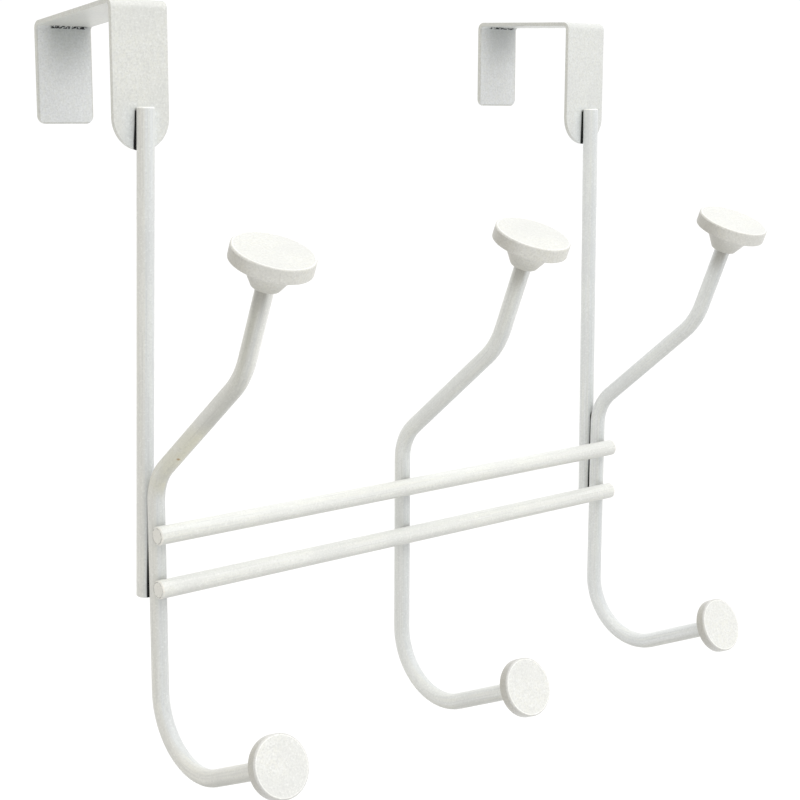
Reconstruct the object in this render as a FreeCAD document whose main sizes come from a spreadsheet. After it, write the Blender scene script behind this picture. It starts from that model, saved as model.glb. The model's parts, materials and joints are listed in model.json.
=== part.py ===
"""Over-the-door towel rack: two strap brackets, two uprights, two bars and three double hooks.

Millimetres and degrees. X runs along the bars, +Y goes back through the door and +Z is up. The origin
is on the door's top front edge, midway between the brackets: Y = 0 is the inner face of the front legs
and Z = 0 is where the undersides of the bracket tops meet that face.
The rods are resistance welded: each is pressed a little into the next one, so they meet face to face,
and small fillets of weld metal fill the corners beside the contact. The rack is bent and welded by hand,
so the two sides differ a little: each bracket has its own slope and each upright its own lean.
"""
import FreeCAD, Part
import Sketcher
import os
from math import cos, radians, sin, tan

X_AXIS = FreeCAD.Vector(1, 0, 0)
Y_AXIS = FreeCAD.Vector(0, 1, 0)
Z_AXIS = FreeCAD.Vector(0, 0, 1)

doc = FreeCAD.newDocument("towel_rack")

# ------------------------------------------------------------------ driving dimensions
DIMENSIONS = [
    ("rod_dia", 5.5),            # every upright and hook
    ("bar_dia", 5.9),            # the two bars
    ("rod_bevel", 0.35),         # broken edge on each open rod end
    ("cross_press", 0.3),        # how far a bar is pressed into a hook
    ("side_press", 0.2),         # how far a hook is pressed into its upright
    ("seat_press", 0.15),        # how far an upright is pressed flat against its bracket
    ("hook_pitch", 102.3),       # between neighbouring hooks
    ("bar_length", 210.0),
    ("bar_shift", -0.9),         # the bars' middle from the middle hook
    ("bar_rise", 17.2),          # upper bar above lower bar
    ("lower_bar_drop", 178.1),   # lower bar's axis below the door's top
    ("upright_foot", 4.6),       # upright's foot below the lower bar's axis
    ("upright_length", 152.2),
    ("left_foot_out", 103.8),    # upright's foot from the middle hook
    ("right_foot_out", 102.0),
    ("left_lean", 1.62),         # the two uprights lean towards each other
    ("right_lean", 0.83),
    ("strap_width", 20.0),
    ("strap_thick", 1.5),
    ("strap_bend", 1.2),         # inside radius of the strap's two bends
    ("strap_edge", 0.3),         # rounding of the strap's edges
    ("bracket_pitch", 198.6),    # between the middles of the brackets
    ("left_top_slope", -6.9),    # a bracket's top rises towards the back by this
    ("right_top_slope", 1.8),
    ("left_gap", 43.2),          # between the legs, along the top's underside
    ("right_gap", 45.7),
    ("front_leg", 43.7),         # below the underside of the top
    ("back_leg", 30.8),          # below the underside of the top
    ("front_round", 9.95),       # corner radius of the front leg's end, almost a half circle
    ("back_round", 2.6),         # corner radius of the back leg's end
    ("vertical_low", 34.9),      # a hook's straight run below the lower bar's axis
    ("vertical_high", 26.4),     # a hook's straight run above the lower bar's axis
    ("lower_bend", 15.7),        # the bend just above the bars
    ("slant_angle", 51.3),       # from upright
    ("slant_length", 45.6),
    ("upper_bend", 24.4),
    ("steep_angle", 22.2),       # from upright
    ("steep_length", 34.3),      # up to the top knob's face
    ("toe_bend", 21.6),
    ("toe_turn", 113.2),         # how far the foot of a hook turns forward and up
    ("toe_length", 36.1),        # up to the low knob's face
    ("knob_skin", 1.9),          # metal between a rod's end and its knob's face
    ("top_knob_dia", 24.7),
    ("top_knob_thick", 4.5),
    ("top_knob_edge", 0.45),
    ("neck_wide", 17.4),         # the top knob's cone, where it meets the disc
    ("neck_narrow", 8.4),        # the cone's end towards the rod
    ("neck_length", 6.9),
    ("neck_edge", 0.8),
    ("low_knob_dia", 19.3),
    ("low_knob_thick", 3.7),
    ("low_knob_edge", 0.45),
    ("weld_ball", 2.3),          # radius of the weld at each crossing
    ("bead_radius", 1.0),        # section of a long weld bead
    ("bead_taper", 0.6),         # how far its ends are tapered
    ("bead_offset", 1.95),       # a long bead beside the rods' contact line
    ("hook_bead", 18.0),         # length of the bead between a hook and its upright
    ("strap_bead", 11.0),        # length of the bead between an upright and its bracket
    ("strap_bead_foot", 1.0),    # that bead's foot above the bracket's lowest point
]

sheet = doc.addObject("Spreadsheet::Sheet", "Sizes")
for row, (alias, value) in enumerate(DIMENSIONS, start=1):
    sheet.set("A%d" % row, alias)
    sheet.set("B%d" % row, str(value))
    sheet.setAlias("B%d" % row, alias)
doc.recompute()


def size(alias):
    """A driving dimension as a plain number."""
    return float(sheet.get(alias))


# ------------------------------------------------------------------ small helpers
TOUCHING = 0.001                 # closer than this, two points are the same
finished = []


def keep(obj, label):
    """Mark an object as a finished sub-part; its label names its file."""
    obj.Label = label
    finished.append(obj)
    return obj


def primitive(kind, name, **formulas):
    """A Part primitive whose sizes are formulas on the sheet."""
    obj = doc.addObject(kind, name)
    for prop, formula in formulas.items():
        obj.setExpression(prop, formula)
    return obj


def place(obj, x, y, z, axis=Z_AXIS, angle=0.0):
    obj.Placement = FreeCAD.Placement(FreeCAD.Vector(x, y, z), FreeCAD.Rotation(axis, angle))
    return obj


def cut(name, base, tool):
    obj = doc.addObject("Part::Cut", name)
    obj.Base = base
    obj.Tool = tool
    return obj


def fuse(name, shapes):
    obj = doc.addObject("Part::MultiFuse", name)
    obj.Shapes = shapes
    return obj


def round_edges(name, base, radius, wanted, kind="Part::Fillet"):
    """Fillet or chamfer the edges of base that the wanted test picks out."""
    doc.recompute()
    picked = [i for i, edge in enumerate(base.Shape.Edges, start=1) if wanted(edge)]
    if not picked:
        raise RuntimeError("no edges to round on " + base.Name)
    obj = doc.addObject(kind, name)
    obj.Base = base
    obj.Edges = [(i, radius, radius) for i in picked]
    doc.recompute()
    return obj


def is_circle(edge):
    return edge.Curve.TypeId == "Part::GeomCircle" and edge.isClosed()


# ------------------------------------------------------------------ where the rods run
ROD_RADIUS = size("rod_dia") / 2
UPRIGHT_Y = -(size("strap_thick") + ROD_RADIUS - size("seat_press"))
HOOK_Y = UPRIGHT_Y - size("rod_dia") + size("side_press")
BAR_Y = HOOK_Y - (size("rod_dia") + size("bar_dia")) / 2 + size("cross_press")
LOWER_BAR_Z = -size("lower_bar_drop")
UPPER_BAR_Z = LOWER_BAR_Z + size("bar_rise")
BAR_LEVELS = {"lower": LOWER_BAR_Z, "upper": UPPER_BAR_Z}
FOOT_Z = LOWER_BAR_Z - size("upright_foot")
SIDES = {"left": -1, "right": 1}
HOOK_X = {"left": -size("hook_pitch"), "middle": 0.0, "right": size("hook_pitch")}


def upright_x(side, z):
    """X of an upright's axis at a height."""
    return SIDES[side] * (size(side + "_foot_out") - (z - FOOT_Z) * tan(radians(size(side + "_lean"))))


# ------------------------------------------------------------------ bent centre lines
def straight(start, heading, length):
    """The end of a straight run; a heading is the angle from upright, towards the sketch's X."""
    return (start[0] + length * sin(heading), start[1] + length * cos(heading))


def bend(start, heading, new_heading, radius):
    """The middle and the end of an arc that turns from one heading to the next."""
    hand = 1 if new_heading > heading else -1
    points = []
    for angle in ((heading + new_heading) / 2, new_heading):
        across = start[0] + hand * radius * (cos(heading) - cos(angle))
        up = start[1] + hand * radius * (sin(angle) - sin(heading))
        points.append((across, up))
    return points


def flat(point):
    return FreeCAD.Vector(point[0], point[1], 0)


def near_vertex(sketch, index, point):
    """1 for the start or 2 for the end of a sketch element, whichever lies at the point."""
    start = sketch.getPoint(index, 1)
    return 1 if start.distanceToPoint(flat(point)) < TOUCHING else 2


def centre_line(name, runs, origin, across):
    """Runs of points as a sketch of lines and tangent arcs; across is the sketch's X direction."""
    sketch = doc.addObject("Sketcher::SketchObject", name)
    facing = FreeCAD.Rotation(across, Z_AXIS, across.cross(Z_AXIS), "XYZ")
    sketch.Placement = FreeCAD.Placement(FreeCAD.Vector(*origin), facing)
    for points in runs:
        kind = Part.LineSegment if len(points) == 2 else Part.Arc
        sketch.addGeometry(kind(*[flat(p) for p in points]), False)
    for index in range(len(runs) - 1):
        joint = (set(runs[index]) & set(runs[index + 1])).pop()
        first = near_vertex(sketch, index, joint)
        second = near_vertex(sketch, index + 1, joint)
        sketch.addConstraint(Sketcher.Constraint("Tangent", index, first, index + 1, second))
    return sketch


def tie(sketch, label, formula, *constraint):
    """A constraint whose value is a formula on the sheet."""
    index = sketch.addConstraint(Sketcher.Constraint(*constraint))
    sketch.renameConstraint(index, label)
    sketch.setExpression("Constraints." + label, formula)


def sweep(name, section, spine, run_count):
    swept = doc.addObject("Part::Sweep", name)
    swept.Sections = [section]
    swept.Spine = (spine, ["Edge%d" % (i + 1) for i in range(run_count)])
    swept.Solid = True
    return swept


ORIGIN_POINT = (-1, 1)
SKETCH_Y_AXIS = -2
START, END = 1, 2


# ------------------------------------------------------------------ hook centre line
def hook_runs():
    """The hook's centre line as runs of (forward, up) points, measured from the lower bar's axis."""
    slant = radians(size("slant_angle"))
    steep = radians(size("steep_angle"))
    down = radians(180)
    toe = down - radians(size("toe_turn"))
    foot = (0.0, -size("vertical_low"))
    top = (0.0, size("vertical_high"))
    toe_bend = bend(foot, down, toe, size("toe_bend"))
    toe_tip = straight(toe_bend[1], toe, size("toe_length") - size("knob_skin"))
    lower_bend = bend(top, 0.0, slant, size("lower_bend"))
    slant_top = straight(lower_bend[1], slant, size("slant_length"))
    upper_bend = bend(slant_top, slant, steep, size("upper_bend"))
    top_tip = straight(upper_bend[1], steep, size("steep_length") - size("knob_skin"))
    return [
        (toe_bend[1], toe_tip),
        (foot, toe_bend[0], toe_bend[1]),
        (foot, top),
        (top, lower_bend[0], lower_bend[1]),
        (lower_bend[1], slant_top),
        (slant_top, upper_bend[0], upper_bend[1]),
        (upper_bend[1], top_tip),
    ]


RUNS = hook_runs()
TOE, TOE_BEND, VERTICAL, LOWER_BEND, SLANT, UPPER_BEND, STEEP = range(len(RUNS))
TOE_TIP = RUNS[TOE][-1]
TOP_TIP = RUNS[STEEP][-1]
TOE_HEADING = 180 - size("toe_turn")


def hook_spine(name, x):
    """A hook's centre line: sketch X is forward and sketch Y is up."""
    sketch = centre_line(name, RUNS, (x, HOOK_Y, LOWER_BAR_Z), -Y_AXIS)
    sketch.addConstraint(Sketcher.Constraint("PointOnObject", VERTICAL, START, SKETCH_Y_AXIS))
    sketch.addConstraint(Sketcher.Constraint("Vertical", VERTICAL))
    tie(sketch, "below_bar", "Sizes.vertical_low",
        "DistanceY", VERTICAL, START, *ORIGIN_POINT, size("vertical_low"))
    tie(sketch, "above_bar", "Sizes.vertical_high",
        "DistanceY", *ORIGIN_POINT, VERTICAL, END, size("vertical_high"))
    tie(sketch, "toe_radius", "Sizes.toe_bend", "Radius", TOE_BEND, size("toe_bend"))
    tie(sketch, "lower_radius", "Sizes.lower_bend", "Radius", LOWER_BEND, size("lower_bend"))
    tie(sketch, "upper_radius", "Sizes.upper_bend", "Radius", UPPER_BEND, size("upper_bend"))
    tie(sketch, "toe_run", "Sizes.toe_length - Sizes.knob_skin",
        "Distance", TOE, size("toe_length") - size("knob_skin"))
    tie(sketch, "slant_run", "Sizes.slant_length", "Distance", SLANT, size("slant_length"))
    tie(sketch, "steep_run", "Sizes.steep_length - Sizes.knob_skin",
        "Distance", STEEP, size("steep_length") - size("knob_skin"))
    tie(sketch, "toe_rise", "(Sizes.toe_turn - 90) * 1 deg", "Angle", TOE, radians(size("toe_turn") - 90))
    tie(sketch, "slant_rise", "(90 - Sizes.slant_angle) * 1 deg",
        "Angle", SLANT, radians(90 - size("slant_angle")))
    tie(sketch, "steep_rise", "(90 - Sizes.steep_angle) * 1 deg",
        "Angle", STEEP, radians(90 - size("steep_angle")))
    return sketch


def hook_point(side, tip, beyond=0.0, heading=0.0):
    """A centre-line point in the rack's frame, moved on along a heading."""
    forward = tip[0] + beyond * sin(radians(heading))
    up = tip[1] + beyond * cos(radians(heading))
    return HOOK_X[side], HOOK_Y - forward, LOWER_BAR_Z + up


# ------------------------------------------------------------------ bars
def bevelled_rod(name, dia, length):
    """A straight rod along Z from its own origin, with both sawn ends bevelled."""
    rod = primitive("Part::Cylinder", name + "_blank", Radius="Sizes.%s / 2" % dia, Height="Sizes." + length)
    return round_edges(name, rod, size("rod_bevel"), is_circle, "Part::Chamfer")


bars = {}
for level, bar_z in BAR_LEVELS.items():
    bar = bevelled_rod(level + "_bar", "bar_dia", "bar_length")
    place(bar, size("bar_shift") - size("bar_length") / 2, BAR_Y, bar_z, Y_AXIS, 90)
    bars[level] = keep(bar, level + "_bar")
both_bars = fuse("both_bars", list(bars.values()))


# ------------------------------------------------------------------ hooks, notched where the bars cross
bent_rods = {}
hooks = {}
for side, hook_x in HOOK_X.items():
    spine = hook_spine(side + "_hook_line", hook_x)
    section = primitive("Part::Circle", side + "_hook_section", Radius="Sizes.rod_dia / 2")
    place(section, *hook_point(side, TOP_TIP), X_AXIS, size("steep_angle"))
    bent_rods[side] = sweep(side + "_bent_rod", section, spine, len(RUNS))
    hooks[side] = keep(cut(side + "_hook_notched", bent_rods[side], both_bars), side + "_hook")


# ------------------------------------------------------------------ knobs, each bored for its rod's end
def at_level(edge, z):
    """True for an edge that lies flat at a height."""
    return edge.BoundBox.ZLength < TOUCHING and abs(edge.BoundBox.Center.z - z) < TOUCHING


def knob_disc(name, dia, thick, edge):
    """A disc along Z from its own origin, with a rounded rim."""
    disc = primitive("Part::Cylinder", name + "_blank", Radius="Sizes.%s / 2" % dia, Height="Sizes." + thick)
    return round_edges(name, disc, size(edge), is_circle)


def top_knob(side):
    disc = knob_disc(side + "_top_disc", "top_knob_dia", "top_knob_thick", "top_knob_edge")
    place(disc, 0, 0, size("neck_length"))
    cone = primitive("Part::Cone", side + "_cone", Radius1="Sizes.neck_narrow / 2",
                     Radius2="Sizes.neck_wide / 2", Height="Sizes.neck_length + Sizes.top_knob_edge")
    neck = round_edges(side + "_neck", cone, size("neck_edge"), lambda e: is_circle(e) and at_level(e, 0))
    bore = primitive("Part::Cylinder", side + "_top_bore", Radius="Sizes.rod_dia / 2",
                     Height="Sizes.neck_length + Sizes.top_knob_thick - Sizes.knob_skin")
    knob = cut(side + "_top_knob", fuse(side + "_top_solid", [disc, neck]), bore)
    back = size("knob_skin") - size("top_knob_thick") - size("neck_length")
    place(knob, *hook_point(side, TOP_TIP, back, size("steep_angle")), X_AXIS, size("steep_angle"))
    return keep(knob, side + "_top_knob")


def low_knob(side):
    disc = knob_disc(side + "_low_disc", "low_knob_dia", "low_knob_thick", "low_knob_edge")
    bore = primitive("Part::Cylinder", side + "_low_bore", Radius="Sizes.rod_dia / 2",
                     Height="Sizes.low_knob_thick - Sizes.knob_skin")
    knob = cut(side + "_low_knob", disc, bore)
    back = size("knob_skin") - size("low_knob_thick")
    place(knob, *hook_point(side, TOE_TIP, back, TOE_HEADING), X_AXIS, TOE_HEADING)
    return keep(knob, side + "_low_knob")


for side in HOOK_X:
    top_knob(side)
    low_knob(side)


# ------------------------------------------------------------------ brackets
FRONT, FRONT_BEND, TOP, BACK_BEND, BACK = range(5)


def strap_runs(side):
    """A strap's centre line as runs of (back, up) points, measured from the door's top front edge."""
    half_thick = size("strap_thick") / 2
    radius = size("strap_bend") + half_thick
    along_top = radians(90 - size(side + "_top_slope"))
    down = radians(180)
    front_inset = size("strap_bend") * tan(along_top / 2)
    back_inset = size("strap_bend") * tan((down - along_top) / 2)
    foot = (-half_thick, -size("front_leg"))
    front_top = straight(foot, 0.0, size("front_leg") - front_inset)
    front_bend = bend(front_top, 0.0, along_top, radius)
    top_end = straight(front_bend[1], along_top, size(side + "_gap") - front_inset - back_inset)
    back_bend = bend(top_end, along_top, down, radius)
    tip = straight(back_bend[1], down, size("back_leg") - back_inset)
    return [
        (foot, front_top),
        (front_top, front_bend[0], front_bend[1]),
        (front_bend[1], top_end),
        (top_end, back_bend[0], back_bend[1]),
        (back_bend[1], tip),
    ]


def strap_spine(side, runs, x):
    """A strap's centre line: sketch X is back and sketch Y is up."""
    sketch = centre_line(side + "_strap_line", runs, (x, 0, 0), Y_AXIS)
    radius = "Sizes.strap_bend + Sizes.strap_thick / 2"
    radius_now = size("strap_bend") + size("strap_thick") / 2
    slope = "Sizes.%s_top_slope" % side
    front_inset = "Sizes.strap_bend * tan((90 - %s) / 2 * 1 deg)" % slope
    back_inset = "Sizes.strap_bend * tan((90 + %s) / 2 * 1 deg)" % slope
    lengths = {leg: flat(runs[leg][0]).distanceToPoint(flat(runs[leg][1])) for leg in (FRONT, TOP, BACK)}
    for leg in (FRONT, BACK):
        sketch.addConstraint(Sketcher.Constraint("Vertical", leg))
    tie(sketch, "foot_back", "Sizes.strap_thick / 2",
        "DistanceX", FRONT, START, *ORIGIN_POINT, size("strap_thick") / 2)
    tie(sketch, "foot_down", "Sizes.front_leg",
        "DistanceY", FRONT, START, *ORIGIN_POINT, size("front_leg"))
    tie(sketch, "front_radius", radius, "Radius", FRONT_BEND, radius_now)
    tie(sketch, "back_radius", radius, "Radius", BACK_BEND, radius_now)
    tie(sketch, "top_slope", slope + " * 1 deg", "Angle", TOP, radians(size(side + "_top_slope")))
    tie(sketch, "front_run", "Sizes.front_leg - " + front_inset, "Distance", FRONT, lengths[FRONT])
    tie(sketch, "top_run", "Sizes.%s_gap - %s - %s" % (side, front_inset, back_inset),
        "Distance", TOP, lengths[TOP])
    tie(sketch, "back_run", "Sizes.back_leg - " + back_inset, "Distance", BACK, lengths[BACK])
    return sketch


def upright_edge(edge):
    """True for a straight edge that lies along Z."""
    if edge.Curve.TypeId != "Part::GeomLine":
        return False
    return abs(edge.tangentAt(edge.FirstParameter).dot(Z_AXIS)) > 0.999


def corner_edge(edge, z):
    """True for a short edge through the strap's thickness at a leg's end."""
    return edge.BoundBox.XLength < TOUCHING and at_level(edge, z)


def bracket(side):
    """A flat strap bent over the door, with rounded leg ends and broken edges."""
    middle = SIDES[side] * size("bracket_pitch") / 2
    runs = strap_runs(side)
    spine = strap_spine(side, runs, middle)
    section = primitive("Part::Plane", side + "_strap_section", Length="Sizes.strap_width",
                        Width="Sizes.strap_thick")
    place(section, middle - size("strap_width") / 2, -size("strap_thick"), -size("front_leg"))
    strap = sweep(side + "_bent_strap", section, spine, len(runs))
    strap = round_edges(side + "_strap_front", strap, size("front_round"),
                        lambda e: corner_edge(e, runs[FRONT][0][1]))
    strap = round_edges(side + "_strap_back", strap, size("back_round"),
                        lambda e: corner_edge(e, runs[BACK][1][1]))
    strap = round_edges(side + "_strap_edges", strap, size("strap_edge"), upright_edge)
    return keep(strap, side + "_bracket")


brackets = {side: bracket(side) for side in SIDES}


# ------------------------------------------------------------------ uprights, seated on hook and bracket
uprights = {}
for side, sign in SIDES.items():
    rod = bevelled_rod(side + "_upright_rod", "rod_dia", "upright_length")
    place(rod, upright_x(side, FOOT_Z), UPRIGHT_Y, FOOT_Z, Y_AXIS, -sign * size(side + "_lean"))
    pressed = cut(side + "_upright_pressed", rod, bent_rods[side])
    uprights[side] = keep(cut(side + "_upright_seated", pressed, brackets[side]), side + "_upright")


# ------------------------------------------------------------------ welds
def bead(name, length, x, y, z, neighbours):
    """A long weld bead with tapered ends that fills the corner beside a contact."""
    blank = primitive("Part::Cylinder", name + "_blank", Radius="Sizes.bead_radius", Height="Sizes." + length)
    tapered = round_edges(name + "_tapered", blank, size("bead_taper"), is_circle, "Part::Chamfer")
    place(tapered, x, y, z - size(length) / 2)
    return cut(name, tapered, fuse(name + "_neighbours", neighbours))


crossing_welds = []
for side, hook_x in HOOK_X.items():
    for level, bar_z in BAR_LEVELS.items():
        ball = primitive("Part::Sphere", "%s_%s_ball" % (side, level), Radius="Sizes.weld_ball")
        place(ball, hook_x, (BAR_Y + HOOK_Y) / 2, bar_z)
        beside_bar = cut("%s_%s_beside_bar" % (side, level), ball, bars[level])
        crossing_welds.append(cut("%s_%s_weld" % (side, level), beside_bar, bent_rods[side]))

hook_beads = []
strap_beads = []
for side in SIDES:
    bead_z = (LOWER_BAR_Z + UPPER_BAR_Z) / 2
    groove_x = (upright_x(side, bead_z) + HOOK_X[side]) / 2
    hook_beads.append(bead(side + "_hook_bead", "hook_bead", groove_x + size("bead_offset"),
                           (UPRIGHT_Y + HOOK_Y) / 2, bead_z, [uprights[side], hooks[side]]))
    bead_z = -size("front_leg") + size("strap_bead_foot") + size("strap_bead") / 2
    strap_beads.append(bead(side + "_strap_bead", "strap_bead", upright_x(side, bead_z) + size("bead_offset"),
                            -size("strap_thick") - size("bead_radius") / 2, bead_z,
                            [uprights[side], brackets[side]]))

for label, members in (("bar_welds", crossing_welds), ("hook_welds", hook_beads),
                       ("bracket_welds", strap_beads)):
    group = doc.addObject("Part::Compound", label)
    group.Links = members
    keep(group, label)

# ------------------------------------------------------------------ check and write
doc.recompute()
for obj in doc.Objects:
    if "Invalid" in obj.State or "Error" in obj.State:
        raise RuntimeError("failed object: " + obj.Label)
os.makedirs("parts", exist_ok=True)
for obj in finished:
    if obj.Shape.isNull() or not obj.Shape.isValid() or not obj.Shape.Solids:
        raise RuntimeError("bad shape: " + obj.Label)
    obj.Shape.exportStep(os.path.join("parts", obj.Label + ".step"))
    print("%-16s solids %d volume %.1f" % (obj.Label, len(obj.Shape.Solids), obj.Shape.Volume))
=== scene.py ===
"""Looks of the over-the-door towel rack: satin powder coat, painted light and shade, crevices, stains, floor,
light and camera.
"""

import json
from math import pi

import bpy
from mathutils import Matrix, Vector


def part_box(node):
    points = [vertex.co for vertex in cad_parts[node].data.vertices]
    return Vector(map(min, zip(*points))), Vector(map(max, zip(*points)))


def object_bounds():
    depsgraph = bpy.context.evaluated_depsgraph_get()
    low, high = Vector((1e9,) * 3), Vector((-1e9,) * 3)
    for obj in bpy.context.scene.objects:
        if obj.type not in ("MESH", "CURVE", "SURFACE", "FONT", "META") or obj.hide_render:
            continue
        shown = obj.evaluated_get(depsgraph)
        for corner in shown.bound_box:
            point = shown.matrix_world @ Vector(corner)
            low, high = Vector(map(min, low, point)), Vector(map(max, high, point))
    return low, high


MM = 0.001
SIDES = ("left", "right")
HOOKS = ("left", "middle", "right")
BAR_LEVELS = ("lower", "upper")
KNOB_LEVELS = ("top", "low")

# the ways that surfaces face, in the rack's own axes
LEFT = (-1, 0, 0)
FRONT = (0, -1, 0)
DOWN = (0, 0, -1)

# the left and right edges of an upright rod at the photograph's viewing angle, fixed in the rack's axes
BACK_LEFT = (-0.75, 0.66, 0)
FRONT_RIGHT = (0.75, -0.66, 0)

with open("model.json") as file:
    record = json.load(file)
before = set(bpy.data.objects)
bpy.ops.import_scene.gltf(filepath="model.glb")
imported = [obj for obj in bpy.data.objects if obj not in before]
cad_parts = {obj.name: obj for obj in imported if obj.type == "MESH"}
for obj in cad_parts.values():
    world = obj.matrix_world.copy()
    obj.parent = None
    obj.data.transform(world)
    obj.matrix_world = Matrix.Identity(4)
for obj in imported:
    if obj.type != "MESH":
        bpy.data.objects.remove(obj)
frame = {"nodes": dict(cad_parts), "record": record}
cad_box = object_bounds()
scene = bpy.context.scene
NODES = frame["nodes"]
MOUNTS = {mount["name"]: mount for mount in frame["record"]["mounts"]}


# ------------------------------------------------------------------ the rack's shapes, read from the frame
class Rod:
    """The straight run of a rod: a point on its axis, its direction, its radius and its node's heights."""

    def __init__(self, name, point, direction, radius):
        low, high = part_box(name)
        self.point = point
        self.direction = direction.normalized()
        self.radius = radius
        self.low = low.z
        self.high = high.z


def slice_box(name, low, high):
    """The box round what a node has between two heights."""
    points = [v.co for v in NODES[name].data.vertices if low <= v.co.z <= high]
    return Vector(map(min, zip(*points))), Vector(map(max, zip(*points)))


def hook_run(name):
    """The upright run of a hook, whose back is never notched."""
    low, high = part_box(name)
    radius = (high.x - low.x) / 2
    return Rod(name, Vector(((low.x + high.x) / 2, high.y - radius, 0)), Vector((0, 0, 1)), radius)


def upright_run(name, radius):
    """The run of an upright, which leans to one side but not to the front or back."""
    low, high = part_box(name)
    foot = slice_box(name, low.z, low.z + MM)
    head = slice_box(name, high.z - MM, high.z)
    start = Vector(((foot[0].x + foot[1].x) / 2, foot[1].y - radius, low.z))
    end = Vector(((head[0].x + head[1].x) / 2, start.y, high.z))
    return Rod(name, start, end - start, radius)


def bar_run(name):
    low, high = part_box(name)
    return Rod(name, (low + high) / 2, Vector((1, 0, 0)), (high.z - low.z) / 2)


class Bracket:
    """A bracket's two sides, the foot of its front leg, its inner back corner and its back leg's foot."""

    def __init__(self, side):
        low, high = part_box(side + "_bracket")
        self.left = low.x
        self.right = high.x
        self.foot = low.z
        self.corner = self.find_corner(MOUNTS[side + "_top_seat"], MOUNTS[side + "_back_seat"])
        vertices = NODES[side + "_bracket"].data.vertices
        self.back_foot = min(v.co.z for v in vertices if v.co.y > self.corner.y - MM)

    @staticmethod
    def find_corner(top_seat, back_seat):
        """Where the underside of the top meets the inner face of the back leg."""
        y = back_seat["pos_m"][1]
        drop = (y - top_seat["pos_m"][1]) * top_seat["axis"][1] / top_seat["axis"][2]
        return Vector((0, y, top_seat["pos_m"][2] - drop))


class Disc:
    """A knob: the way its face looks, the middle of that face, its radius and its whole length."""

    def __init__(self, name):
        mesh = NODES[name].data
        self.axis = max(mesh.polygons, key=lambda face: face.area).normal.copy()
        depths = [v.co.dot(self.axis) for v in mesh.vertices]
        front = max(depths)
        face = [v.co for v, depth in zip(mesh.vertices, depths) if front - depth < 0.02 * MM]
        self.middle = sum(face, Vector()) / len(face)
        self.radius = max((v.co - self.middle).cross(self.axis).length for v in mesh.vertices)
        self.length = front - min(depths)


HOOK_RUN = {side: hook_run(side + "_hook") for side in HOOKS}
UPRIGHT_RUN = {side: upright_run(side + "_upright", HOOK_RUN[side].radius) for side in SIDES}
BAR_RUN = {level: bar_run(level + "_bar") for level in BAR_LEVELS}
BAR_HIGH = BAR_RUN["upper"].high
BRACKET = {side: Bracket(side) for side in SIDES}


# ------------------------------------------------------------------ shader helpers
class Graph:
    """The node tree of a material or a world, written as nested expressions in metres."""

    def __init__(self, owner, coordinate="Object"):
        owner.use_nodes = True
        self.owner = owner
        self.tree = owner.node_tree
        self.tree.nodes.clear()
        coordinates = self.node("ShaderNodeTexCoord").outputs
        self.place = coordinates[coordinate]
        self.out = coordinates["Normal"]
        split = self.node("ShaderNodeSeparateXYZ")
        self.feed(split.inputs[0], self.place)
        self.x, self.y, self.z = split.outputs

    def node(self, kind, **props):
        made = self.tree.nodes.new(kind)
        for key, value in props.items():
            setattr(made, key, value)
        return made

    def feed(self, socket, value):
        """Link a socket, or set it where the value is a plain number or colour."""
        if isinstance(value, bpy.types.NodeSocket):
            self.tree.links.new(value, socket)
        else:
            socket.default_value = value

    def math(self, operation, a, b=0.0):
        made = self.node("ShaderNodeMath", operation=operation)
        self.feed(made.inputs[0], a)
        self.feed(made.inputs[1], b)
        return made.outputs[0]

    def vector(self, operation, a, b=(0.0, 0.0, 0.0)):
        made = self.node("ShaderNodeVectorMath", operation=operation)
        self.feed(made.inputs[0], a)
        self.feed(made.inputs[1], b)
        return made.outputs["Value" if operation in ("LENGTH", "DOT_PRODUCT") else "Vector"]

    def mix(self, factor, a, b, blend="MIX"):
        made = self.node("ShaderNodeMix", data_type="RGBA", blend_type=blend)
        self.feed(made.inputs[0], factor)
        self.feed(made.inputs[6], a)
        self.feed(made.inputs[7], b)
        return made.outputs[2]

    def noise(self, per_unit, detail=2.0, roughness=0.5, where=None):
        made = self.node("ShaderNodeTexNoise")
        self.feed(made.inputs["Vector"], where or self.place)
        self.feed(made.inputs["Scale"], per_unit)
        self.feed(made.inputs["Detail"], detail)
        self.feed(made.inputs["Roughness"], roughness)
        return made.outputs["Fac"]

    def ramp(self, value, low, high, to_low=0.0, to_high=1.0):
        """A smooth step: to_low at low and to_high at high."""
        made = self.node("ShaderNodeMapRange", interpolation_type="SMOOTHSTEP")
        for socket, number in zip(made.inputs, (value, low, high, to_low, to_high)):
            self.feed(socket, number)
        return made.outputs[0]

    def band(self, value, low, high, fade):
        """1 between two values, fading to 0 outside them."""
        rising = self.ramp(value, low - fade, low)
        falling = self.ramp(value, high, high + fade, 1.0, 0.0)
        return self.both(rising, falling)

    def both(self, first, *others):
        """Masks multiplied together."""
        for other in others:
            first = self.math("MULTIPLY", first, other)
        return first

    def faces(self, way):
        """1 where the surface faces a way, -1 where it faces away from it."""
        return self.vector("DOT_PRODUCT", self.out, tuple(Vector(way).normalized()))

    def off_line(self, point, direction):
        """How far the surface is from a line."""
        offset = self.vector("SUBTRACT", self.place, tuple(point))
        return self.vector("LENGTH", self.vector("CROSS_PRODUCT", offset, tuple(direction)))

    def off_rod(self, rod):
        """How far the surface is from a rod's own surface."""
        return self.math("SUBTRACT", self.off_line(rod.point, rod.direction), rod.radius)

    def depth(self, disc):
        """How far the surface is behind a knob's face."""
        offset = self.vector("SUBTRACT", tuple(disc.middle), self.place)
        return self.vector("DOT_PRODUCT", offset, tuple(disc.axis))

    def near(self, point, full, none):
        """1 up to a distance from a point, fading to 0 at a larger one."""
        offset = self.vector("SUBTRACT", self.place, tuple(point))
        return self.ramp(self.vector("LENGTH", offset), full, none, 1.0, 0.0)


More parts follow.
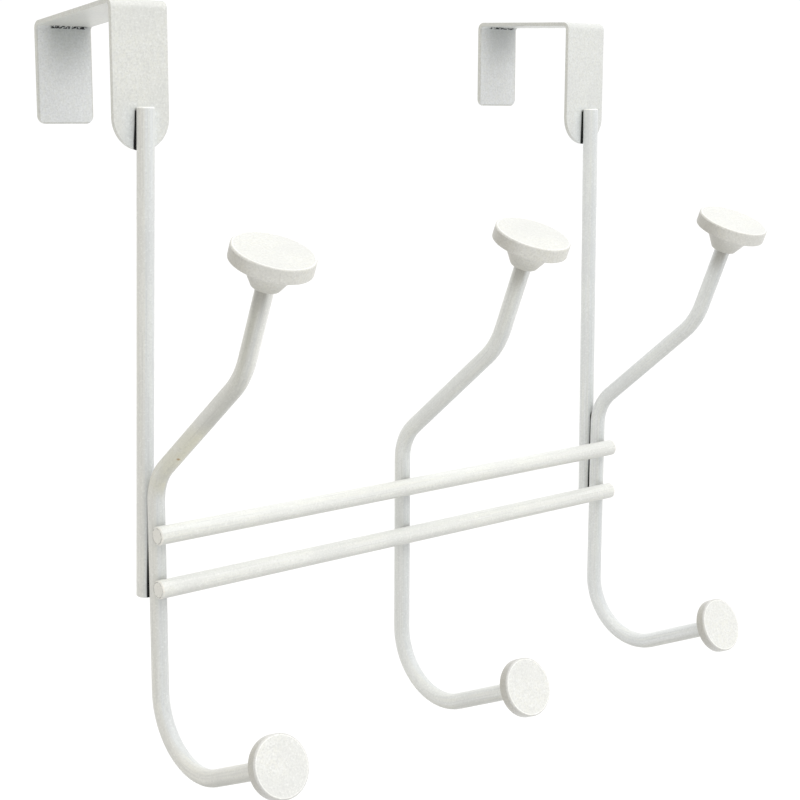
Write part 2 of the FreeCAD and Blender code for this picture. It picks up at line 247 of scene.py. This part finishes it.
# ------------------------------------------------------------------ powder coat
WHITE = (1.0, 1.0, 1.0, 1.0)
CREAM = (0.990, 0.985, 0.950, 1.0)
CLOUD = (0.93, 0.93, 0.93, 1.0)
STREAK = (0.88, 0.88, 0.88, 1.0)
PIT = (0.86, 0.86, 0.86, 1.0)
GLINT = (1.12, 1.12, 1.12, 1.0)
# near-black painted shade for the narrow gaps between parts
CREVICE_SHADE = (0.010, 0.011, 0.012, 1.0)
CLOUD_SCALE = 55.0
GRAIN_SCALE = 1500.0
FLAT_STREAK_SCALE = 1700.0
FLAT_WARMTH_SCALE = 750.0
DRAWN_STREAK_SCALE = 7.0
DRAWN_WARMTH_SCALE = 2.6
DRAWN_DRIFT = 5.0
PEEL_SCALE = 1300.0
NIB_SCALE = 700.0
NIB_HEIGHT = 0.8
STREAK_HEIGHT = 0.5
RELIEF = 0.03 * MM
SATIN = 0.36
WELD_SATIN = 0.42


class Coat(Graph):
    """Satin off-white powder coat with mottle, nibs and orange peel.

    Shades are laid on it one after another, each a mask and the colour that it brings in; most of them are
    painted light and shade. A crevice is a mask of painted shade that turns the coat nearly black. On a
    drawn rod the streaks run along the rod, round every bend.
    """

    def __init__(self, name, tone, drawn, roughness=SATIN):
        super().__init__(bpy.data.materials.new(name))
        self.colour = [*tone, 1.0]
        self.crevices = []
        self.roughness = roughness
        self.grain = self.noise(GRAIN_SCALE, 2.0, 0.6)
        if drawn:
            drift = self.vector("MULTIPLY", self.place, (DRAWN_DRIFT, DRAWN_DRIFT, DRAWN_DRIFT))
            around = self.vector("ADD", self.out, drift)
            self.streaks = self.noise(DRAWN_STREAK_SCALE, 2.0, 0.6, around)
            self.warmth = self.noise(DRAWN_WARMTH_SCALE, 1.0, 0.5, around)
        else:
            self.streaks = self.noise(FLAT_STREAK_SCALE, 2.0, 0.55)
            self.warmth = self.noise(FLAT_WARMTH_SCALE, 1.0)

    def shade(self, mask, tint):
        self.colour = self.mix(mask, self.colour, [*tint, 1.0])

    # a crevice mask lays near-black painted shade on the coat
    def crevice(self, mask):
        self.crevices.append(mask)

    def speckle(self):
        """The warmth, clouds, streaks, pits and glints of the coat, as a factor on its colour."""
        cloud = self.noise(CLOUD_SCALE, 3.0, 0.55)
        factor = self.mix(self.ramp(self.warmth, 0.35, 0.65), CREAM, WHITE)
        factor = self.mix(self.ramp(cloud, 0.36, 0.60, 0.8, 0.0), factor, CLOUD)
        factor = self.mix(self.ramp(self.streaks, 0.34, 0.52, 0.9, 0.0), factor, STREAK)
        factor = self.mix(self.ramp(self.grain, 0.30, 0.47, 0.75, 0.0), factor, PIT)
        return self.mix(self.ramp(self.grain, 0.55, 0.70, 0.0, 0.6), factor, GLINT)

    def relief(self):
        """Orange peel, nibs and streaks, as a bumped normal."""
        peel = self.noise(PEEL_SCALE, 2.0, 0.55)
        nibs = self.ramp(self.noise(NIB_SCALE, 0.0), 0.68, 0.76)
        height = self.math("ADD", peel, self.both(nibs, NIB_HEIGHT))
        height = self.math("ADD", height, self.both(self.streaks, STREAK_HEIGHT))
        bump = self.node("ShaderNodeBump")
        self.feed(bump.inputs["Strength"], 1.0)
        self.feed(bump.inputs["Distance"], RELIEF)
        self.feed(bump.inputs["Height"], height)
        return bump.outputs[0]

    def cover(self, *names):
        """Build the shader, and put the coat on nodes."""
        colour = self.mix(1.0, self.colour, self.speckle(), "MULTIPLY")
        rough = self.ramp(self.grain, 0.3, 0.7, self.roughness - 0.05, self.roughness + 0.07)
        # the crevices' near-black painted shade goes on last
        for dark in self.crevices:
            colour = self.mix(dark, colour, CREVICE_SHADE)
            rough = self.math("MAXIMUM", rough, dark)
        shader = self.node("ShaderNodeBsdfPrincipled")
        self.feed(shader.inputs["Base Color"], colour)
        self.feed(shader.inputs["Roughness"], rough)
        self.feed(shader.inputs["Normal"], self.relief())
        self.feed(self.node("ShaderNodeOutputMaterial").inputs["Surface"], shader.outputs[0])
        for name in names:
            slots = NODES[name].data.materials
            slots.clear()
            slots.append(self.owner)


# ------------------------------------------------------------------ tones that several parts share
# The real coat is one colour. These tones differ from part to part to follow the photograph's light.
OFF_WHITE = {
    "left": (0.660, 0.665, 0.640),
    "middle": (0.680, 0.690, 0.668),
    "right": (0.680, 0.694, 0.682),
}
# painted light and shade on the left and right edges of the rods
LEFT_OF_ROD = {
    "left": (0.665, 0.658, 0.620),
    "middle": (0.715, 0.722, 0.705),
    "right": (0.730, 0.745, 0.745),
}
RIGHT_OF_ROD = (0.625, 0.647, 0.655)
# painted shade on the undersides
UNDER_SHADE = (0.470, 0.470, 0.434)
# painted highlight on lit ends, edges and sides
PAINTED_HIGHLIGHT = (0.867, 0.867, 0.836)
# a darker tone: painted shadow under the knobs' necks and round the bars on the hooks, and a darker ring on
# the bar ends
DIM = (0.376, 0.371, 0.340)

# ------------------------------------------------------------------ masks that several parts share
CREVICE_EDGE = 0.30 * MM
HOOK_GAP_RISE = {"left": 2 * MM, "right": 9 * MM}
HOOK_GAP_FOOT = {"left": 0.85 * MM, "right": 0.52 * MM}
HOOK_GAP_TIP = 0.20 * MM


def crevice_shade_by_rod(g, rod, low, high, wide_low, wide_high, fade):
    """A crevice of painted shade beside a rod between two heights, as wide as its two ends say."""
    wide = g.ramp(g.z, low, high, wide_low, wide_high)
    beyond = g.math("SUBTRACT", g.off_rod(rod), wide)
    return g.both(g.ramp(beyond, 0.0, CREVICE_EDGE, 1.0, 0.0), g.band(g.z, low, high, fade))


def hook_gap_shade(g, side, other):
    """The painted shade in the gap between an outer hook and its upright, widest at the upright's foot."""
    return crevice_shade_by_rod(g, other, UPRIGHT_RUN[side].low, BAR_HIGH + HOOK_GAP_RISE[side],
                          HOOK_GAP_FOOT[side], HOOK_GAP_TIP, 2 * MM)


def under_side(g, strength):
    """The sides that face down, where shade is painted."""
    return g.both(g.ramp(g.faces(DOWN), -0.15, 0.85), strength)


def shade_rod_sides(coat, side):
    """The photograph's light on the right and left edges of an upright rod, painted in."""
    coat.shade(coat.ramp(coat.faces(FRONT_RIGHT), 0.00, 0.22, 0.0, 0.7), RIGHT_OF_ROD)
    coat.shade(coat.ramp(coat.faces(BACK_LEFT), 0.05, 0.30, 0.0, 0.7), LEFT_OF_ROD[side])


# ------------------------------------------------------------------ uprights
def finish_upright(side):
    rod = UPRIGHT_RUN[side]
    coat = Coat(side + "_upright_coat", OFF_WHITE[side], drawn=True)
    shade_rod_sides(coat, side)
    # painted highlight on the cut top end of the upright
    upper_end = coat.ramp(coat.z, rod.high - 0.6 * MM, rod.high - 0.3 * MM)
    coat.shade(upper_end, PAINTED_HIGHLIGHT)
    coat.crevice(hook_gap_shade(coat, side, HOOK_RUN[side]))
    coat.cover(side + "_upright")


# ------------------------------------------------------------------ brackets
# the two brackets' tones differ to follow the light
STRAP_WHITE = {"left": (0.630, 0.636, 0.610), "right": (0.628, 0.638, 0.622)}
# painted shade on the strap's narrow side faces
STRAP_SIDE_SHADE = (0.575, 0.573, 0.534)
# painted light on the inner face of the back leg, lighter and bluer
BACK_LEG_LIGHT = (0.665, 0.678, 0.684)
BACK_LEG_EDGE = (0.545, 0.550, 0.525)
BACK_SHADE = (0.390, 0.410, 0.410)
BACK_SHADE_STRENGTH = {"left": 0.92, "right": 0.70}
BESIDE_UPRIGHT = (0.721, 0.747, 0.750)


def back_leg(g, bracket):
    """The inner face of the back leg."""
    return g.both(g.ramp(g.faces(FRONT), 0.2, 0.9),
                  g.ramp(g.y, bracket.corner.y - 3 * MM, bracket.corner.y - 1.5 * MM))


def back_shade(g, bracket, strength):
    """The shadow from the inner back corner down the back leg, painted in."""
    source_x = 0.42 * bracket.left + 0.58 * bracket.right
    source = Vector((source_x, bracket.corner.y, bracket.corner.z + 2 * MM))
    across = g.band(g.x, bracket.left + 8 * MM, bracket.right - 3 * MM, 9 * MM)
    down = g.ramp(g.z, bracket.corner.z - 30 * MM, bracket.corner.z, 0.6 * strength, strength)
    return g.both(back_leg(g, bracket), across, down, g.near(source, 3 * MM, 24 * MM))


def back_leg_edge(g, bracket):
    """The thin darker line along the sides and the foot of the back leg's inner face."""
    off_middle = g.math("ABSOLUTE", g.math("SUBTRACT", g.x, (bracket.left + bracket.right) / 2))
    half = (bracket.right - bracket.left) / 2
    by_side = g.ramp(off_middle, half - 0.60 * MM, half - 0.35 * MM)
    by_foot = g.ramp(g.z, bracket.back_foot + 0.35 * MM, bracket.back_foot + 0.65 * MM, 1.0, 0.0)
    return g.both(back_leg(g, bracket), g.math("MAXIMUM", by_side, by_foot))


def back_corner_shade_line(g, bracket):
    """A broken black line of painted shade along the inner back corner."""
    line = g.ramp(g.off_line(bracket.corner, LEFT), 0.65 * MM, 0.95 * MM, 1.0, 0.0)
    broken = g.ramp(g.noise(GRAIN_SCALE, 1.0), 0.40, 0.52)
    return g.both(line, broken, g.band(g.x, bracket.left + 6 * MM, bracket.right - 3 * MM, 2 * MM))


def beside_upright(g, bracket, rod):
    """The bluish light on the front leg, round its upright, painted in."""
    beside = g.ramp(g.off_rod(rod), 1.5 * MM, 6 * MM, 0.8, 0.0)
    front = g.ramp(g.faces(FRONT), 0.5, 0.9)
    return g.both(beside, front, g.band(g.z, bracket.foot, rod.high - 3 * MM, 6 * MM))


def finish_bracket(side):
    bracket = BRACKET[side]
    rod = UPRIGHT_RUN[side]
    coat = Coat(side + "_bracket_coat", STRAP_WHITE[side], drawn=False)
    # painted shade on the strap's sides, painted light on the back leg, the painted shadow from the back
    # corner, a darker line round the back leg and painted light round the upright
    shaded_strap_sides = coat.ramp(coat.math("ABSOLUTE", coat.faces(LEFT)), 0.5, 0.9, 0.0, 0.8)
    coat.shade(shaded_strap_sides, STRAP_SIDE_SHADE)
    coat.shade(back_leg(coat, bracket), BACK_LEG_LIGHT)
    coat.shade(back_shade(coat, bracket, BACK_SHADE_STRENGTH[side]), BACK_SHADE)
    coat.shade(back_leg_edge(coat, bracket), BACK_LEG_EDGE)
    coat.shade(beside_upright(coat, bracket, rod), BESIDE_UPRIGHT)
    # near-black painted shade beside the upright and in the back corner
    coat.crevice(crevice_shade_by_rod(coat, rod, bracket.foot, rod.high - 1.5 * MM, 0.85 * MM, 0.55 * MM, 1.5 * MM))
    coat.crevice(back_corner_shade_line(coat, bracket))
    coat.cover(side + "_bracket")


# ------------------------------------------------------------------ hooks
# how strong the painted shade is on the undersides of the low and top arms
UNDER_LOW_ARM = {"left": 1.1, "middle": 0.72, "right": 0.60}
UNDER_TOP_ARM = {"left": 0.92, "middle": 0.36, "right": 0.32}
# painted shade from the knob down the top arm
KNOB_SHADE = (0.462, 0.460, 0.414)
# how strong the painted shade and the painted light are on each top arm
TOP_ARM_SHADE_AND_LIGHT = {"left": 1.0, "middle": 0.34, "right": 0.15}
# painted light on the right of the top arm, and the way it faces
TOP_ARM_LIGHT = 0.7
ARM_LIGHT_WAY = (0.65, -0.76, 0)
BAR_CREVICE = 0.15 * MM

LEFT_HOOK_X = HOOK_RUN["left"].point.x
OLIVE = (0.585, 0.577, 0.496)
STAIN_LOW = Vector((LEFT_HOOK_X, -12.0 * MM, -145.0 * MM))
STAIN_HIGH = Vector((LEFT_HOOK_X, -36.0 * MM, -127.0 * MM))
STAIN_WAY = (-1, -0.3, 0.1)
RUST = (0.370, 0.265, 0.150)
RUST_SPECK = Vector((LEFT_HOOK_X - 1.3 * MM, -24.1 * MM, -135.5 * MM))


def arm_knob_shade(g, knob_low):
    """The band of painted shade down the left of the top arm, strongest just under the knob."""
    around = g.band(g.faces(BACK_LEFT), 0.36, 0.52, 0.46)
    return g.both(around, g.ramp(g.z, knob_low - 46 * MM, knob_low + 3 * MM, 0.0, 1.25))


def arm_light(g, knob_low):
    """The painted light on the right of the top arm, which makes it brighter."""
    around = g.ramp(g.faces(ARM_LIGHT_WAY), 0.25, 0.95)
    return g.both(around, g.ramp(g.z, knob_low - 42 * MM, knob_low - 18 * MM))


def neck_shadow(g, knob_low):
    """The painted shadow in the corner under the knob's neck."""
    around = g.band(g.faces(BACK_LEFT), -0.1, 0.6, 0.5)
    return g.both(around, g.ramp(g.z, knob_low - 9 * MM, knob_low + 0.5 * MM))


def bar_shadow(g, bar):
    """The painted shadow on the front of the hook, close round a bar."""
    return g.both(g.ramp(g.off_rod(bar), 0.2 * MM, 1.8 * MM, 0.45, 0.0), g.faces(FRONT))


def stain(g):
    """The olive stain along the lower bend and the slant."""
    off_middle = g.off_line(STAIN_LOW, (STAIN_HIGH - STAIN_LOW).normalized())
    along = g.band(g.z, STAIN_LOW.z, STAIN_HIGH.z, 6 * MM)
    around = g.band(g.faces(STAIN_WAY), 0.15, 1.0, 0.4)
    patchy = g.ramp(g.noise(120.0, 3.0), 0.34, 0.60, 0.25, 1.0)
    return g.both(g.ramp(off_middle, 2.0 * MM, 7.0 * MM, 1.0, 0.0), along, around, patchy)


def finish_hook(side):
    knob_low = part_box(side + "_top_knob")[0].z
    coat = Coat(side + "_hook_coat", OFF_WHITE[side], drawn=True)
    shade_rod_sides(coat, side)
    # painted shade on the undersides, under the knob and round the bars, painted light on the right of the
    # top arm
    under = coat.ramp(coat.z, BAR_HIGH, BAR_HIGH + 10 * MM, UNDER_LOW_ARM[side], UNDER_TOP_ARM[side])
    coat.shade(under_side(coat, under), UNDER_SHADE)
    coat.shade(coat.both(arm_knob_shade(coat, knob_low), TOP_ARM_SHADE_AND_LIGHT[side]), KNOB_SHADE)
    coat.shade(coat.both(arm_light(coat, knob_low), TOP_ARM_LIGHT * TOP_ARM_SHADE_AND_LIGHT[side]), PAINTED_HIGHLIGHT)
    coat.shade(neck_shadow(coat, knob_low), DIM)
    # painted shadow and near-black painted shade where the bars cross the hook
    for bar in BAR_RUN.values():
        coat.shade(bar_shadow(coat, bar), DIM)
        coat.crevice(crevice_shade_by_rod(coat, bar, bar.low, bar.high, BAR_CREVICE, BAR_CREVICE, MM))
    if side in SIDES:
        coat.crevice(hook_gap_shade(coat, side, UPRIGHT_RUN[side]))
    if side == "left":
        coat.shade(stain(coat), OLIVE)
        coat.shade(coat.near(RUST_SPECK, 0.20 * MM, 0.85 * MM), RUST)
    coat.cover(side + "_hook")


# ------------------------------------------------------------------ knobs
# the face tones of the top and low knobs differ to follow the light
FACE_WHITE = {"top": (0.655, 0.658, 0.632), "low": (0.712, 0.715, 0.692)}
# painted shade on the rims, their left sides and the necks
RIM_SHADE = {"top": (0.628, 0.624, 0.588), "low": (0.585, 0.582, 0.560)}
RIM_LEFT_SHADE = (0.475, 0.465, 0.428)
NECK_SHADE = (0.449, 0.444, 0.402)


def face_highlight(g, disc):
    """The thin painted highlight round the face, just inside its rounded edge."""
    off_middle = g.off_line(disc.middle, disc.axis)
    ring = g.band(off_middle, disc.radius - 0.75 * MM, disc.radius - 0.60 * MM, 0.12 * MM)
    return g.both(ring, g.ramp(g.depth(disc), 0.1 * MM, 0.3 * MM, 0.7, 0.0))


def rounded_edge(g, disc):
    """The rounded edge of the face, which has the rim's painted shade."""
    off_middle = g.off_line(disc.middle, disc.axis)
    outside = g.ramp(off_middle, disc.radius - 0.50 * MM, disc.radius - 0.30 * MM)
    return g.both(outside, g.ramp(g.depth(disc), 0.5 * MM, 0.7 * MM, 1.0, 0.0))


def finish_knob(side, level):
    name = f"{side}_{level}_knob"
    disc = Disc(name)
    coat = Coat(name + "_coat", FACE_WHITE[level], drawn=False)
    # painted shade on the rim and its left, a painted highlight round the face, and painted shade on the neck
    rim = coat.ramp(coat.depth(disc), 0.25 * MM, 0.5 * MM)
    coat.shade(rim, RIM_SHADE[level])
    coat.shade(coat.both(rim, coat.ramp(coat.faces(BACK_LEFT), 0.15, 0.85)), RIM_LEFT_SHADE)
    coat.shade(face_highlight(coat, disc), PAINTED_HIGHLIGHT)
    coat.shade(rounded_edge(coat, disc), RIM_SHADE[level])
    if level == "top":
        neck = coat.ramp(coat.depth(disc), 0.40 * disc.length, disc.length, 0.0, 0.7)
        coat.shade(neck, NECK_SHADE)
    coat.cover(name)


# ------------------------------------------------------------------ bars
BAR_WHITE = (0.715, 0.722, 0.695)
BAR_UNDER = 0.5
# painted shade on the bar ends, which face left
BAR_CAP_SHADE = (0.672, 0.660, 0.612)
# painted highlight on the bevel round the bar ends, tinted beige
BAR_BEVEL_HIGHLIGHT = (0.780, 0.755, 0.700)


def bar_ring(g, level, inside, outside, reach):
    """A broken ring round both ends, between two distances from the middle line, that reaches inwards."""
    bar = BAR_RUN[level]
    low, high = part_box(level + "_bar")
    ring = g.band(g.off_line(bar.point, bar.direction), inside, outside, 0.12 * MM)
    uneven = g.ramp(g.noise(900.0, 1.0), 0.36, 0.58, 0.2, 0.9)
    left_end = g.ramp(g.x, low.x + reach, low.x + reach + 0.3 * MM, 1.0, 0.0)
    right_end = g.ramp(g.x, high.x - reach - 0.3 * MM, high.x - reach)
    return g.both(ring, uneven, g.math("MAXIMUM", left_end, right_end))


def finish_bar(level):
    radius = BAR_RUN[level].radius
    coat = Coat(level + "_bar_coat", BAR_WHITE, drawn=True)
    # painted shade on the undersides and the ends, a painted highlight on the bevels, and a darker ring
    # inside them
    coat.shade(under_side(coat, BAR_UNDER), UNDER_SHADE)
    coat.shade(coat.ramp(coat.faces(LEFT), 0.85, 0.97), BAR_CAP_SHADE)
    coat.shade(bar_ring(coat, level, radius - 0.25 * MM, radius, 0.5 * MM), BAR_BEVEL_HIGHLIGHT)
    coat.shade(bar_ring(coat, level, radius - 0.62 * MM, radius - 0.38 * MM, 0.1 * MM), DIM)
    coat.cover(level + "_bar")


# ------------------------------------------------------------------ all the coats
for side in SIDES:
    finish_upright(side)
    finish_bracket(side)
for side in HOOKS:
    finish_hook(side)
    for level in KNOB_LEVELS:
        finish_knob(side, level)
for level in BAR_LEVELS:
    finish_bar(level)
weld_coat = Coat("weld_coat", OFF_WHITE["middle"], drawn=False, roughness=WELD_SATIN)
weld_coat.cover("bar_welds", "hook_welds", "bracket_welds")

# ------------------------------------------------------------------ floor
FLOOR_DROP = 0.9
FLOOR_HALF = 14.0
# the floor is painted darker in the middle, under the rack: a pool of painted shade
FLOOR_MIDDLE_SHADE = (0.62, 0.62, 0.62, 1.0)
FLOOR_FAR = (0.90, 0.90, 0.90, 1.0)

floor_mesh = bpy.data.meshes.new("floor")
floor_corners = [(x * FLOOR_HALF, y * FLOOR_HALF, 0) for x, y in ((-1, -1), (1, -1), (1, 1), (-1, 1))]
floor_mesh.from_pydata(floor_corners, [], [(0, 1, 2, 3)])
floor = bpy.data.objects.new("floor", floor_mesh)
floor.location = (0, 0, cad_box[0].z - FLOOR_DROP)
scene.collection.objects.link(floor)

paint = Graph(bpy.data.materials.new("floor_paint"))
# painted shade: darker in the middle, paler further out
far = paint.ramp(paint.vector("LENGTH", paint.place), 0.1, 1.4)
floor_shader = paint.node("ShaderNodeBsdfDiffuse")
paint.feed(floor_shader.inputs["Color"], paint.mix(far, FLOOR_MIDDLE_SHADE, FLOOR_FAR))
paint.feed(paint.node("ShaderNodeOutputMaterial").inputs["Surface"], floor_shader.outputs[0])
floor_mesh.materials.append(paint.owner)

# ------------------------------------------------------------------ light
SKY_SIDE = 1.04
SKY_TOP = 0.45
SKY_LEFT = -0.38
SKY_WARM = (1.0, 0.990, 0.955, 1.0)
KEY_WAY = (0.3, -0.8, 1.2)
KEY_DISTANCE = 1.1
KEY_SIZE = 0.9
KEY_POWER = 3.8

sky = Graph(bpy.data.worlds.new("studio"), "Generated")
strength = sky.math("ADD", sky.ramp(sky.z, 0.15, 0.95, 0.0, SKY_TOP), SKY_SIDE)
strength = sky.math("ADD", strength, sky.ramp(sky.x, 0.25, -0.9, 0.0, SKY_LEFT))
background = sky.node("ShaderNodeBackground")
sky.feed(background.inputs["Color"], sky.mix(sky.ramp(sky.x, 0.1, -0.9), WHITE, SKY_WARM))
sky.feed(background.inputs["Strength"], strength)
sky.feed(sky.node("ShaderNodeOutputWorld").inputs["Surface"], background.outputs[0])
scene.world = sky.owner

light = bpy.data.lights.new("key", "AREA")
light.size = KEY_SIZE
light.energy = KEY_POWER
lamp = bpy.data.objects.new("key", light)
towards = Vector(KEY_WAY).normalized()
lamp.location = (cad_box[0] + cad_box[1]) / 2 + towards * KEY_DISTANCE
lamp.rotation_euler = towards.to_track_quat("Z", "Y").to_euler()
scene.collection.objects.link(lamp)

# ------------------------------------------------------------------ camera
CAMERA_PLACE = Vector((-0.37655, -0.43352, -0.03112))
CAMERA_YAW = 0.7244
CAMERA_PITCH = -0.1743
CAMERA_ROLL = 0.0039
SENSOR = 36.0
FOCAL_PIXELS = 1648.2
IMAGE_PIXELS = 800

camera_data = bpy.data.cameras.new("camera")
camera_data.sensor_width = SENSOR
camera_data.lens = SENSOR * FOCAL_PIXELS / IMAGE_PIXELS
camera_data.clip_start = 0.01
camera = bpy.data.objects.new("camera", camera_data)
yaw = Matrix.Rotation(-CAMERA_YAW, 4, "Z")
pitch = Matrix.Rotation(pi / 2 + CAMERA_PITCH, 4, "X")
roll = Matrix.Rotation(CAMERA_ROLL, 4, "Z")
camera.matrix_world = Matrix.Translation(CAMERA_PLACE) @ yaw @ pitch @ roll
scene.collection.objects.link(camera)
scene.camera = camera
scene.view_settings.view_transform = "Standard"
